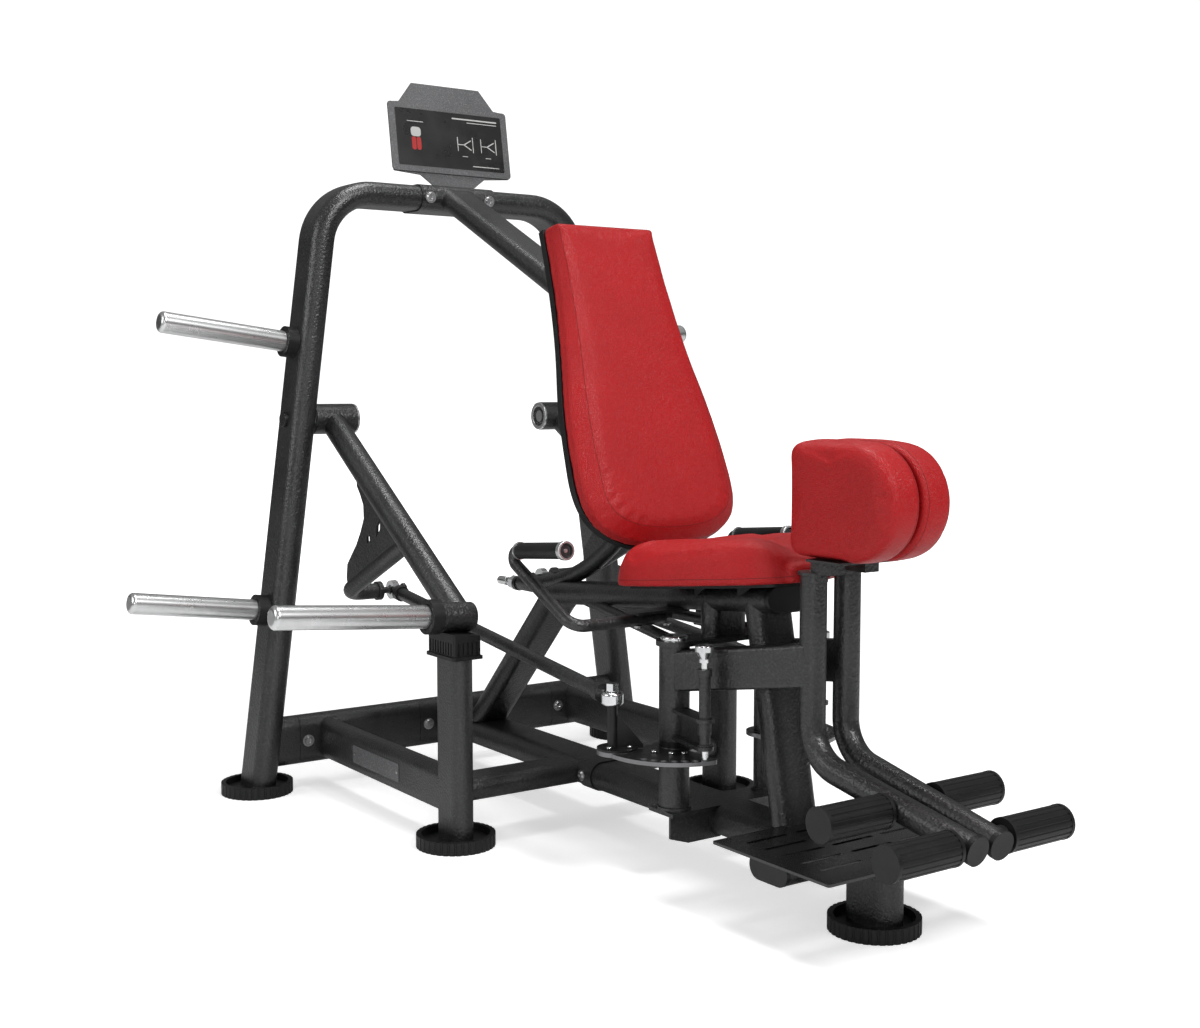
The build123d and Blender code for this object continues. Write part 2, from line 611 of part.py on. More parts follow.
# ---- weight levers ------------------------------------------------------------------------------
def sleeve_axis():
    tilt = radians(SLEEVE_TILT)
    return spot(-SLEEVE_X, SIDE_AHEAD, SLEEVE_Z), Vector(-cos(tilt), 0, sin(tilt))


def build_levers():
    hub_bore = rod((-500, ARCH_Y, HUB_Z), (-200, ARCH_Y, HUB_Z), AXLE_R + PIN_PLAY)
    hub = rod((-HUB_OUT, ARCH_Y, HUB_Z), (-HUB_IN, ARCH_Y, HUB_Z), HUB_R)
    middle, out = sleeve_axis()
    sleeve = rod(middle - out * SLEEVE_IN, middle + out * SLEEVE_OUT, SLEEVE_R)
    sleeve = fillet(sleeve.edges().filter_by(GeomType.CIRCLE), 4)
    beam = rod((-332, ARCH_Y, HUB_Z), tuple(middle), LEVER_R)

    x = -345.0
    ball = spot(-BALL_REAR[0], BALL_REAR[1], BALL_REAR[2])
    elbow = spot(x, *CRANK_ELBOW)
    reach_in = (ball - elbow).normalized()
    crank = bent_round([tuple(spot(x, *CRANK_ROOT)), tuple(elbow), tuple(ball - reach_in * 38)], 42, CRANK_R)
    collar = rod(ball - reach_in * 46, ball - reach_in * 34, CRANK_R + 4)
    stud = rod(ball - reach_in * 36, ball + reach_in * 32, STUD_R)
    nut = extrude(Plane(origin=ball + reach_in * 24, z_dir=reach_in) * RegularPolygon(14, 6), amount=9)
    web = [(168, 760), (404, 646), (376, 600), (116, 490), (108, 520), (113, 552), (136, 576), (162, 602), (186, 635),
           (204, 668), (202, 700), (186, 724), (170, 742)]
    plane = Plane(origin=(x - 3, 0, 0), x_dir=(0, 1, 0), z_dir=(1, 0, 0))
    gusset = extrude(plane * Polygon(*[(ahead(d), z) for d, z in web], align=None), amount=6)
    for distance, z, long in ((278, 652, 26), (226, 622, 14)):
        gusset -= extrude(plane.offset(-5) * Pos(ahead(distance), z) * Rot(0, 0, 24)
                          * Polygon((-9, 0), (0, -long), (9, 0), (0, long), align=None), amount=20)
    lever = hub + beam + sleeve + crank + collar + stud + nut + gusset - hub_bore
    save_sides("weight_lever", lever)

    horn = plate_horn(middle, out, SLEEVE_OUT, LOAD_HORN_REACH)
    horn = fillet(horn.edges().sort_by(Axis.X)[0], HORN_TIP)
    cap = rod((-HUB_IN, ARCH_Y, HUB_Z), (-HUB_IN + 6, ARCH_Y, HUB_Z), HUB_R - 1, 26)
    cap = fillet(cap.edges().group_by(Axis.X)[-1], 1.5)
    save_sides("loading_horn", horn, cap)
    face = middle + out * SLEEVE_OUT
    collar = rod(face, face + out * COLLAR_L, COLLAR_R, NECK_R)
    save_sides("horn_collar", fillet(collar.edges().sort_by(Axis.X)[0:1], 5))

    inner_face = leg_x(HUB_Z) + HEAVY[1] / 2 / cos(radians(LEG_ANGLE))
    axle = rod((leg_x(HUB_Z) - 30, ARCH_Y, HUB_Z), (-HUB_IN + 3, ARCH_Y, HUB_Z), AXLE_R)
    washer = rod((inner_face - 20, ARCH_Y, HUB_Z), (-HUB_OUT - GAP, ARCH_Y, HUB_Z), 24) - arch(0)
    save("lever_axles", *both(axle + washer))


# ---- selector discs and push rods ---------------------------------------------------------------
def polar(radius, angle, z):
    return Vector(CENTRE[0] + radius * cos(radians(angle)), CENTRE[1] + radius * sin(radians(angle)), z)


def build_discs():
    under = DISC_TOP - DISC_T
    plane = Plane(origin=(*CENTRE, under))
    far = 1.6 * DISC_R
    steps = [DISC_START + (DISC_END - DISC_START) * k / 4 for k in range(5)]
    wedge = Polygon((0, 0), *[(far * cos(radians(a)), far * sin(radians(a))) for a in steps], align=None)
    outline = (Circle(DISC_R) & wedge) + Circle(46)
    sector = extrude(plane * outline, amount=DISC_T)
    edges = [edge for edge in sector.edges().filter_by(Axis.Z)
             if (Vector(edge.center().X, edge.center().Y, 0) - Vector(*CENTRE, 0)).length > DISC_R - 5]
    sector = fillet(edges, 12)
    for step in range(HOLE_COUNT):
        spot_xy = polar(HOLE_RING, PIN_ANGLE - HOLE_STEP * step, 0)
        sector -= upright(spot_xy.X, spot_xy.Y, under - 5, DISC_TOP + 5, PIN_R + 1.2)
    for angle in (228, 248, 200):
        head = polar(72, angle, 0)
        sector += upright(head.X, head.Y, DISC_TOP - 1, DISC_TOP + 4, 6)

    radius, angle = CRANK_PIN
    top = BALL_FRONT_Z
    pin = polar(radius, angle, 0)
    lobe = polar(radius - 10, angle, 0)
    base = upright(lobe.X, lobe.Y, under, DISC_TOP + 5, 40)
    stem = upright(pin.X, pin.Y, DISC_TOP, top - 11, 10) + upright(pin.X, pin.Y, DISC_TOP, top + 20, PIN_R)
    web_plane = Plane(origin=pin, x_dir=(Vector(*CENTRE, 0) - Vector(pin.X, pin.Y, 0)), z_dir=(0, 0, 1))
    web_plane = Plane(origin=pin, x_dir=web_plane.x_dir, z_dir=web_plane.y_dir)
    outline = Polygon((0, DISC_TOP), (62, DISC_TOP), (62, DISC_TOP + 8), (8, DISC_TOP + 74), (0, DISC_TOP + 74), align=None)
    if web_plane.y_dir.Z < 0:
        outline = mirror(outline, about=Plane.XZ)
    web = extrude(web_plane * outline, amount=3, both=True)
    for turn in (60, 200, 300):
        head = Vector(lobe.X + 27 * cos(radians(turn)), lobe.Y + 27 * sin(radians(turn)), 0)
        base += upright(head.X, head.Y, DISC_TOP + 4, DISC_TOP + 9, 5)
    hub = upright(*CENTRE, POST_TOP + GAP, ARM_BOTTOM - GAP, PIVOT_R)
    bore = upright(*CENTRE, 200, 300, SHAFT_R + PIN_PLAY)
    save_sides("selector_disc", sector + base + stem + web + hub - bore)

    centre = Vector(pin.X, pin.Y, top)
    ball = Pos(*centre) * (Sphere(BALL_R) & Box(40, 40, 18)) + upright(pin.X, pin.Y, top + 8, top + 15, 10)
    ball += extrude(Plane(origin=(pin.X, pin.Y, top + 15)) * RegularPolygon(13.5, 6), amount=14)
    save_sides("ball_joint", ball - upright(pin.X, pin.Y, top - 30, top + 22, PIN_R + PIN_PLAY))

    rear = spot(-BALL_REAR[0], BALL_REAR[1], BALL_REAR[2])
    along = (rear - centre).normalized()
    socket = upright(pin.X, pin.Y, top - 14, top + 12, 22)
    socket = fillet(socket.edges().filter_by(GeomType.CIRCLE), 6) + rod(centre + along * 18, centre + along * 34, 8)
    socket -= upright(pin.X, pin.Y, top - 20, top + 20, BALL_R + GAP)
    side = Vector(8, 0, 0)
    eye = rod(rear - side, rear + side, 23) + rod(rear - along * 19, rear - along * 34, 8)
    eye -= rod(rear - side * 3, rear + side * 3, STUD_R + STUD_PLAY)
    save_sides("rod_ends", socket, eye)
    tube = rod(centre + along * 34, rear - along * 34, 15)
    ends = [rod(centre + along * 34, centre + along * 52, 19), rod(rear - along * 52, rear - along * 34, 19)]
    save_sides("push_rod", tube + ends[0] + ends[1])


# ---- swing arms ---------------------------------------------------------------------------------
def build_arms():
    x, distance = LEG_TUBE
    leg_top = spot(-x, distance, LEG_TUBE_TOP)
    end = spot(-LEG_TUBE_END[0], LEG_TUBE_END[1], LEG_TUBE_END[2])
    corner = spot(-x, distance, 296)
    leg = bent_round([tuple(leg_top), tuple(corner), tuple(end)], LEG_TUBE_BEND, LEG_TUBE_R)
    flange = upright(-x, ahead(distance), LEG_TUBE_TOP - 1, LEG_TUBE_TOP + 4, 30)

    collar = upright(*CENTRE, ARM_BOTTOM, ARM_TOP, PIVOT_R)
    start = Vector(*CENTRE, 421)
    finish = spot(-x, distance, 470)
    run = finish - start
    plane = Plane(origin=start, x_dir=Vector(-run.Y, run.X, 0), z_dir=run)
    section = plane * RectangleRounded(*ARM_SECTION, 8)
    beam = extrude(section, amount=run.length)

    pin = polar(HOLE_RING, PIN_ANGLE, 0)
    guide = upright(pin.X, pin.Y, 289, 445, 11) + upright(pin.X, pin.Y, 289, 300, 14)
    guide += upright(pin.X, pin.Y, 318, 352, 13) + upright(pin.X, pin.Y, 432, 445, 14)
    outward = (Vector(pin.X, pin.Y, 0) - Vector(*CENTRE, 0))
    plates = []
    for low in (290, 343):
        flat = Plane(origin=(*CENTRE, low), x_dir=outward, z_dir=(0, 0, 1))
        plates.append(extrude(flat * Pos(outward.length / 2, 0) * SlotOverall(outward.length + 36, 36), amount=7))
    rib = extrude(Plane(origin=(*CENTRE, 297), x_dir=outward, z_dir=(0, 0, 1)) * Pos(70, 0) * Rectangle(80, 7), amount=46)
    bore = upright(*CENTRE, 200, 600, SHAFT_R + PIN_PLAY)
    pin_bore = upright(pin.X, pin.Y, 200, 500, PIN_R + PIN_PLAY)

    inner, outer, rear, front, low, _ = THIGH_PAD
    saddle = block(spot(-72, 1516, low - 5), spot(-12, 1427, low - GAP)) + block(spot(-60, 1480, 641), spot(-25, 1427, low - 5))
    stubs = [rod(spot(-36, station, height), spot(-PEG_IN, station, height), 19) for station, height in PEGS]
    arm = collar + beam + leg + flange + guide + plates[0] + plates[1] + rib + saddle + stubs[0] + stubs[1]
    save_sides("swing_arm", arm - bore - pin_bore)

    pegs = []
    for station, height in PEGS:
        axis = Plane(origin=spot(-PEG_IN, station, height), x_dir=(0, 1, 0), z_dir=(-1, 0, 0))
        length = PEG_OUT - PEG_IN
        face = Circle(PEG_R)
        for turn in PolarLocations(PEG_R + 1.2, 18):
            face -= turn * Circle(2.6)
        grip = extrude(axis.offset(7) * face, amount=length - 14)
        rims = extrude(axis * Circle(PEG_R + 0.6), amount=7) + extrude(axis.offset(length - 7) * Circle(PEG_R + 0.6), amount=7)
        pegs.append(grip + rims)
    toward = (end - corner).normalized()
    cap = rod(end, end + toward * 10, LEG_TUBE_R + 1.5)
    save_sides("foot_pegs", pegs[0], pegs[1], cap)

    rim = upright(pin.X, pin.Y, 479, 491, 19)
    rim = fillet(rim.edges().group_by(Axis.Z)[-1], 2.5)
    flare = Pos(pin.X, pin.Y, 472) * Cone(11, 19, 14)
    knob = upright(pin.X, pin.Y, 458, 466, 11) + flare + rim
    stem = upright(pin.X, pin.Y, DISC_TOP + 1.5, 470, PIN_R)
    save_sides("selector_pin", knob + stem)


def thigh_pad():
    """D-shaped cushion: flat rear edge, round front, the outer rim softer than the inner one."""
    inner, outer, rear, front, low, high = THIGH_PAD
    radius = (high - low) / 2
    middle = (high + low) / 2
    plane = Plane(origin=(-inner, 0, 0), x_dir=(0, 1, 0), z_dir=(1, 0, 0))
    back_y, nose_y = ahead(rear), ahead(front) + radius
    outline = Pos((back_y + nose_y) / 2, middle) * Rectangle(back_y - nose_y, 2 * radius)
    outline = outline + Pos(nose_y, middle) * Circle(radius)
    rear_corners = outline.vertices().group_by(Axis.X)[-1]
    outline = fillet(rear_corners, 32)
    body = extrude(plane * outline, amount=-(outer - inner))
    body = fillet(body.faces().sort_by(Axis.X)[0].edges(), 22)
    return fillet(body.faces().sort_by(Axis.X)[-1].edges(), 10)


def main():
    os.makedirs("parts", exist_ok=True)
    build_base()
    build_top()
    build_backrest()
    build_seat()
    build_handles()
    build_rail()
    build_foot_plate()
    build_pivots()
    build_bolts()
    build_levers()
    build_discs()
    build_arms()
    save_sides("thigh_pad", thigh_pad())


main()
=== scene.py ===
"""Looks for the plate-loaded inner-thigh machine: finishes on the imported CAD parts, sewn vinyl pads,
small trim, a pale floor, studio light and the camera."""

import json
import math

import bmesh
import bpy
import numpy as np
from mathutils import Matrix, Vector
from mathutils.bvhtree import BVHTree


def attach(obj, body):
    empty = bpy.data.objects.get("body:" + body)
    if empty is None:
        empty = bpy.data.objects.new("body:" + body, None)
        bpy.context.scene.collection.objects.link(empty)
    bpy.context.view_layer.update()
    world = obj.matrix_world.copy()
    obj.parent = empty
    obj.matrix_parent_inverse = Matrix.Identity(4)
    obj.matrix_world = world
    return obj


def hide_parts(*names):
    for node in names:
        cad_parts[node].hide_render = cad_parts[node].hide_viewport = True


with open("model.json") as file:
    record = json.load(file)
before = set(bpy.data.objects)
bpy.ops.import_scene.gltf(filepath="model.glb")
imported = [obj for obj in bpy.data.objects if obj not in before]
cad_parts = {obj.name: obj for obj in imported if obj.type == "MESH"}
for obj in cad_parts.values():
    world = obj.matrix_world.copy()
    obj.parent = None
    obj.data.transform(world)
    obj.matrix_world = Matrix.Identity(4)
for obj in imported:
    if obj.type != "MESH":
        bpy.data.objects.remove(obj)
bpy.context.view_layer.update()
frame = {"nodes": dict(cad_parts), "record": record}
NODES = frame["nodes"]
SIDES = (("left", -1), ("right", 1))  # the left side is at negative X
ARCH_Y = 0.864  # plane of the rear arch; stations are given as metres ahead of it, toward negative Y
DISC_TOP = 0.270  # height of the selector discs' upper faces
scene = bpy.context.scene


def mm(*values):
    """Millimetres as metres."""
    return [v / 1000.0 for v in values]


def placed(name, mesh):
    """A new object in the scene with that mesh."""
    obj = bpy.data.objects.new(name, mesh)
    scene.collection.objects.link(obj)
    return obj


# ---- node helpers -------------------------------------------------------------------------------
class Graph:
    """A short way to build a material's nodes."""

    def __init__(self, name):
        self.material = bpy.data.materials.new(name)
        self.material.use_nodes = True
        self.tree = self.material.node_tree
        self.shader = self.tree.nodes["Principled BSDF"]
        self.place = self.add("ShaderNodeTexCoord").outputs["Object"]

    def add(self, kind, inputs=None, **settings):
        node = self.tree.nodes.new(kind)
        for key, value in settings.items():
            setattr(node, key, value)
        for key, value in (inputs or {}).items():
            self.feed(node.inputs[key], value)
        return node

    def feed(self, socket, value):
        if isinstance(value, bpy.types.NodeSocket):
            self.tree.links.new(value, socket)
        else:
            socket.default_value = value

    def set(self, **values):
        for key, value in values.items():
            self.feed(self.shader.inputs[key.replace("_", " ")], value)

    def noise(self, scale, detail=3.0, rough=0.55, stretch=None):
        place = self.place
        if stretch:
            place = self.add("ShaderNodeMapping", {"Vector": place, "Scale": stretch}).outputs[0]
        inputs = {"Vector": place, "Scale": scale, "Detail": detail, "Roughness": rough}
        return self.add("ShaderNodeTexNoise", inputs).outputs["Fac"]

    def cells(self, scale, feature, place):
        inputs = {"Vector": place, "Scale": scale}
        return self.add("ShaderNodeTexVoronoi", inputs, feature=feature).outputs["Distance"]

    def ramp(self, value, low, high, start=0.0, end=1.0):
        """Maps value from low..high to start..end, clamped."""
        limits = {"From Min": low, "From Max": high, "To Min": start, "To Max": end}
        return self.add("ShaderNodeMapRange", {"Value": value, **limits}).outputs[0]

    def mix(self, share, first, second):
        node = self.add("ShaderNodeMix", data_type="RGBA")
        self.feed(node.inputs[0], share)
        self.feed(node.inputs[6], first)
        self.feed(node.inputs[7], second)
        return node.outputs[2]

    def math(self, operation, first, second):
        return self.add("ShaderNodeMath", {0: first, 1: second}, operation=operation).outputs[0]

    def bump(self, height, depth, strength):
        inputs = {"Height": height, "Distance": depth, "Strength": strength}
        return self.add("ShaderNodeBump", inputs).outputs["Normal"]


def rgb(*values):
    return (*values, 1.0)


def powder_coat(name, dark, light, rough=0.38, grain=200.0, depth=0.0015):
    """Textured powder coat: coarse pebbled skin over a finer one, slight tone drift and rubbed patches, with
    a painted highlight on the pebble tops and painted shade in their hollows.
    """
    g = Graph(name)
    drift = g.noise(7.0, 4.0)
    pebble = g.noise(grain, 1.5, 0.45)
    fine = g.noise(grain * 2.6, 2.0, 0.5)
    cell = g.cells(grain * 0.9, "SMOOTH_F1", g.place)
    rubbed = g.ramp(g.noise(16.0, 5.0, 0.65), 0.58, 0.72)
    tone = g.mix(g.ramp(drift, 0.35, 0.7), rgb(*dark), rgb(*light))
    # Painted highlight: the pebble tops are mixed part way toward a colour 2.8 times lighter.
    painted_pebble_highlight = rgb(*[min(1, 2.8 * c) for c in light])
    tone = g.mix(g.math("MULTIPLY", g.ramp(pebble, 0.54, 0.70), 0.5), tone, painted_pebble_highlight)
    # Painted shade: the pebble hollows are mixed toward a darker colour.
    tone = g.mix(g.math("MULTIPLY", g.ramp(pebble, 0.46, 0.34), 0.45), tone, rgb(*[0.45 * c for c in dark]))
    roughness = g.math("ADD", g.ramp(drift, 0.3, 0.75, rough - 0.05, rough + 0.07),
                       g.ramp(fine, 0.35, 0.65, 0.05, -0.05))
    roughness = g.math("SUBTRACT", roughness, g.math("MULTIPLY", rubbed, 0.06))
    height = g.math("ADD", g.math("MULTIPLY", pebble, 0.75), g.math("MULTIPLY", cell, 0.35))
    height = g.math("ADD", height, g.math("MULTIPLY", fine, 0.2))
    g.set(Base_Color=tone, Roughness=roughness, Normal=g.bump(height, depth, 0.95), Specular_IOR_Level=0.8)
    return g.material


def chrome(name, tint, rough, streak=(1.0, 1.0, 1.0), scuff=0.08, marks=1.0):
    """Plated steel with faint turning marks, smudges and fine scratches."""
    g = Graph(name)
    smudge = g.noise(26.0, 5.0)
    lines = g.noise(700.0, 2.0, 0.6, stretch=streak)
    wear = g.ramp(g.noise(90.0, 4.0, 0.7, stretch=streak), 0.55, 0.75)
    tone = g.mix(g.ramp(smudge, 0.4, 0.75), rgb(*tint), rgb(*[0.86 * c for c in tint]))
    worn = rgb(*[0.6 * c for c in tint])
    g.set(Base_Color=g.mix(g.math("MULTIPLY", wear, 0.25 * marks), tone, worn), Metallic=1.0,
          Roughness=g.math("ADD", g.ramp(smudge, 0.35, 0.8, rough, rough + scuff),
                           g.ramp(lines, 0.35, 0.65, -0.03 * marks, 0.05 * marks)),
          Normal=g.bump(lines, 0.00006, 0.5 * marks))
    return g.material


def dark_steel(name):
    """Blackened plate: satin black faces, bright on the cut edges up to the top of the discs."""
    g = Graph(name)
    normal = g.add("ShaderNodeNewGeometry").outputs["Normal"]
    upward = g.math("ABSOLUTE", g.add("ShaderNodeSeparateXYZ", {0: normal}).outputs[2], 0.0)
    height = g.add("ShaderNodeSeparateXYZ", {0: g.place}).outputs[2]
    below_top = (DISC_TOP + 0.0012, DISC_TOP + 0.0004)
    edge = g.math("MULTIPLY", g.ramp(upward, 0.35, 0.15), g.ramp(height, *below_top))
    blotch = g.noise(34.0, 5.0, 0.6)
    grain = g.noise(420.0, 3.0, 0.6)
    face = g.mix(g.ramp(blotch, 0.35, 0.7), rgb(0.005, 0.005, 0.0055), rgb(0.013, 0.013, 0.014))
    face = g.mix(g.math("MULTIPLY", g.ramp(grain, 0.6, 0.75), 0.4), face, rgb(0.06, 0.06, 0.062))
    g.set(Base_Color=g.mix(g.math("MULTIPLY", edge, 0.8), face, rgb(0.30, 0.30, 0.31)),
          Metallic=g.ramp(edge, 0.0, 1.0, 0.3, 0.95),
          Roughness=g.math("ADD", g.ramp(blotch, 0.3, 0.75, 0.3, 0.44),
                           g.ramp(grain, 0.35, 0.65, -0.04, 0.05)),
          Normal=g.bump(grain, 0.0002, 0.6), Specular_IOR_Level=0.55)
    return g.material


def rubber(name, tone, rough=0.62, grain=900.0):
    """Moulded rubber or plastic: stippled skin, dusty in places."""
    g = Graph(name)
    dust = g.noise(14.0, 6.0, 0.65)
    stipple = g.noise(grain, 2.0)
    base = g.mix(g.ramp(dust, 0.5, 0.8, 0.0, 0.5), rgb(*tone), rgb(*[2.0 * c + 0.003 for c in tone]))
    g.set(Base_Color=base, Roughness=g.ramp(dust, 0.3, 0.75, rough - 0.07, rough + 0.12),
          Normal=g.bump(stipple, 0.00025, 0.8), Specular_IOR_Level=0.4)
    return g.material


def vinyl(name, tone, deep):
    """Embossed upholstery vinyl: small leather cells, creases between them darkened with painted shade, faint
    sheen.
    """
    g = Graph(name)
    warp = g.noise(60.0, 2.0)
    shift = g.add("ShaderNodeCombineXYZ", {"X": g.ramp(warp, 0.3, 0.7, -0.0015, 0.0015),
                                           "Y": g.ramp(warp, 0.7, 0.3, -0.0015, 0.0015),
                                           "Z": g.ramp(warp, 0.3, 0.7, 0.0012, -0.0012)}).outputs[0]
    place = g.add("ShaderNodeVectorMath", {0: g.place, 1: shift}, operation="ADD").outputs[0]
    cell = g.cells(300.0, "DISTANCE_TO_EDGE", place)
    wide = g.cells(110.0, "SMOOTH_F1", place)
    crease = g.ramp(cell, 0.0, 0.22)
    drift = g.noise(7.0, 4.0)
    mottled = g.mix(g.ramp(drift, 0.3, 0.75), rgb(*tone), rgb(*[0.86 * c for c in tone]))
    # Painted shade: the creases between the cells are mixed toward the deep colour, up to 42 percent at the
    # cell edges.
    colour = g.mix(g.ramp(crease, 0.0, 1.0, 0.42, 0.0), mottled, rgb(*deep))
    height = g.math("ADD", g.math("MULTIPLY", crease, 0.7), g.math("MULTIPLY", wide, 0.5))
    g.set(Base_Color=colour, Roughness=g.ramp(drift, 0.3, 0.75, 0.36, 0.47),
          Normal=g.bump(height, 0.00055, 0.9),
          Specular_IOR_Level=0.3, Sheen_Weight=0.02, Sheen_Roughness=0.4)
    return g.material


COAT = powder_coat("frame_powder_coat", (0.0078, 0.0080, 0.0087), (0.0130, 0.0133, 0.0142), 0.38)
BEAM = powder_coat("beam_powder_coat", (0.0085, 0.0087, 0.0094), (0.0140, 0.0143, 0.0152), 0.40, 240.0)
DECK = powder_coat("deck_coat", (0.0018, 0.0018, 0.0019), (0.0032, 0.0032, 0.0034), 0.30, 240.0, 0.0004)
GREY = powder_coat("grey_powder_coat", (0.074, 0.075, 0.078), (0.094, 0.095, 0.099), 0.48, 420.0, 0.0004)
SLEEVE = chrome("chrome_sleeve", (0.78, 0.785, 0.79), 0.27, (0.3, 1.0, 1.0), 0.05, 0.25)
SATIN = chrome("satin_trim", (0.72, 0.725, 0.73), 0.34)
TRIM = chrome("chrome_trim", (0.82, 0.83, 0.84), 0.14)
ZINC = chrome("zinc_bolt", (0.62, 0.62, 0.63), 0.3)
STEEL = dark_steel("blackened_steel")
RUBBER = rubber("black_rubber", (0.0052, 0.0052, 0.0057), 0.45)
PLASTIC = rubber("black_plastic", (0.0062, 0.0062, 0.0068), 0.42, 600.0)
BOARD = rubber("board_plastic", (0.008, 0.008, 0.0085), 0.48, 450.0)
# The last colour is the painted shade in the vinyl's creases.
VINYL = vinyl("red_vinyl", (0.50, 0.0095, 0.012), (0.25, 0.0025, 0.004))
THREAD = rubber("seam_thread", (0.16, 0.004, 0.006), 0.6, 1500.0)
FACE = rubber("placard_face", (0.012, 0.0115, 0.0115), 0.3, 1200.0)
PRINT = rubber("placard_print", (0.50, 0.50, 0.49), 0.45, 1200.0)
PRINT_RED = rubber("placard_red", (0.42, 0.02, 0.02), 0.45, 1200.0)

FINISH = {
    "frame_paint": COAT, "beam_paint": BEAM, "panel_grey": GREY, "panel_face": GREY,
    "chrome_sleeve": SLEEVE, "chrome_trim": TRIM, "steel_bolt": ZINC, "steel_post": STEEL,
    "rubber_black": RUBBER, "plastic_black": PLASTIC, "board_black": BOARD, "vinyl_red": VINYL,
}


def paint(obj, material):
    obj.data.materials.clear()
    obj.data.materials.append(material)


SLOT_OF = {row["node"]: row["material_slot"] for row in frame["record"]["subparts"]}
for name, node in NODES.items():
    paint(node, {"foot_plate": DECK, "handle_trim": SATIN}.get(name, FINISH[SLOT_OF[name]]))


# ---- pads ---------------------------------------------------------------------------------------
def coordinates(mesh):
    flat = np.zeros(len(mesh.vertices) * 3)
    mesh.vertices.foreach_get("co", flat)
    return flat.reshape(-1, 3)


def evaluated(obj):
    """The object's mesh with its modifiers applied."""
    graph = bpy.context.evaluated_depsgraph_get()
    return bpy.data.meshes.new_from_object(obj.evaluated_get(graph))


def rounded(points, passes=3):
    """Closed outline with its corners cut again and again until it is smooth."""
    ring = np.array(points, float)
    for _ in range(passes):
        after = np.roll(ring, -1, axis=0)
        ring = np.stack([0.75 * ring + 0.25 * after, 0.25 * ring + 0.75 * after], 1).reshape(-1, 2)
    return ring


def spaced(ring, count):
    """The same outline with evenly spaced points."""
    closed = np.vstack([ring, ring[:1]])
    run = np.concatenate([[0], np.cumsum(np.linalg.norm(np.diff(closed, axis=0), axis=1))])
    at = np.linspace(0, run[-1], count, endpoint=False)
    return np.stack([np.interp(at, run, closed[:, 0]), np.interp(at, run, closed[:, 1])], 1)


def pulled_in(ring, amount):
    """The outline moved inward by an amount, which may differ from point to point."""
    run = np.roll(ring, -1, axis=0) - np.roll(ring, 1, axis=0)
    side = np.stack([-run[:, 1], run[:, 0]], 1)
    side /= np.linalg.norm(side, axis=1, keepdims=True)
    area = np.sum(ring[:, 0] * np.roll(ring[:, 1], -1) - np.roll(ring[:, 0], -1) * ring[:, 1])
    return ring + side * np.sign(area) * np.reshape(amount, (-1, 1))


def shell(name, rings, first, last):
    """Closed mesh through a stack of rings, with a fan to a middle point at each end."""
    count = len(rings[0])
    points = np.vstack(rings + [first, last])
    faces = []
    for level in range(len(rings) - 1):
        for i in range(count):
            j, low, high = (i + 1) % count, level * count, (level + 1) * count
            faces.append((low + i, low + j, high + j, high + i))
    top = (len(rings) - 1) * count
    for i in range(count):
        j = (i + 1) % count
        faces.append((len(points) - 2, j, i))
        faces.append((top + i, top + j, len(points) - 1))
    mesh = bpy.data.meshes.new(name)
    mesh.from_pydata([tuple(p) for p in points], [], faces)
    grid = bmesh.new()
    grid.from_mesh(mesh)
    bmesh.ops.recalc_face_normals(grid, faces=grid.faces)
    grid.to_mesh(mesh)
    grid.free()
    return placed(name, mesh)


def even_skin(obj, voxel, passes):
    """Replaces the mesh with one of even small faces, fit for the cloth solver."""
    remesh = obj.modifiers.new("remesh", "REMESH")
    remesh.mode = "VOXEL"
    remesh.voxel_size = voxel
    smooth = obj.modifiers.new("smooth", "SMOOTH")
    smooth.iterations = passes
    obj.data = evaluated(obj)
    obj.modifiers.clear()


def puff(obj, held, cap, pressure=4.0):
    """Blows the pad up with the cloth solver. held says which points stay on the board."""
    rest = coordinates(obj.data)
    group = obj.vertex_groups.new(name="held")
    group.add([int(i) for i in np.nonzero(held(rest))[0]], 1.0, "REPLACE")
    cloth = obj.modifiers.new("cloth", "CLOTH")
    cloth.settings.use_pressure = True
    cloth.settings.uniform_pressure_force = pressure
    cloth.settings.quality = 5
    cloth.settings.tension_stiffness = 20
    cloth.settings.compression_stiffness = 20
    cloth.settings.bending_stiffness = 2
    cloth.settings.effector_weights.gravity = 0
    cloth.settings.vertex_group_mass = "held"
    for number in range(1, 21):
        scene.frame_set(number)
    moved = coordinates(obj.evaluated_get(bpy.context.evaluated_depsgraph_get()).data)
    scene.frame_set(1)
    shift = moved - rest
    length = np.linalg.norm(shift, axis=1, keepdims=True)
    shift *= np.tanh(length / cap) * cap / np.maximum(length, 1e-9)
    obj.modifiers.clear()
    obj.data.vertices.foreach_set("co", (rest + shift).ravel())
    obj.data.update()


def finish_pad(obj, body, node):
    """Smooth vinyl in place of the CAD pad, riding the same body."""
    for polygon in obj.data.polygons:
        polygon.use_smooth = True
    obj.modifiers.new("round", "SUBSURF").render_levels = 1
    obj.modifiers["round"].levels = 1
    paint(obj, VINYL)
    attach(obj, body)
    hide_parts(node)


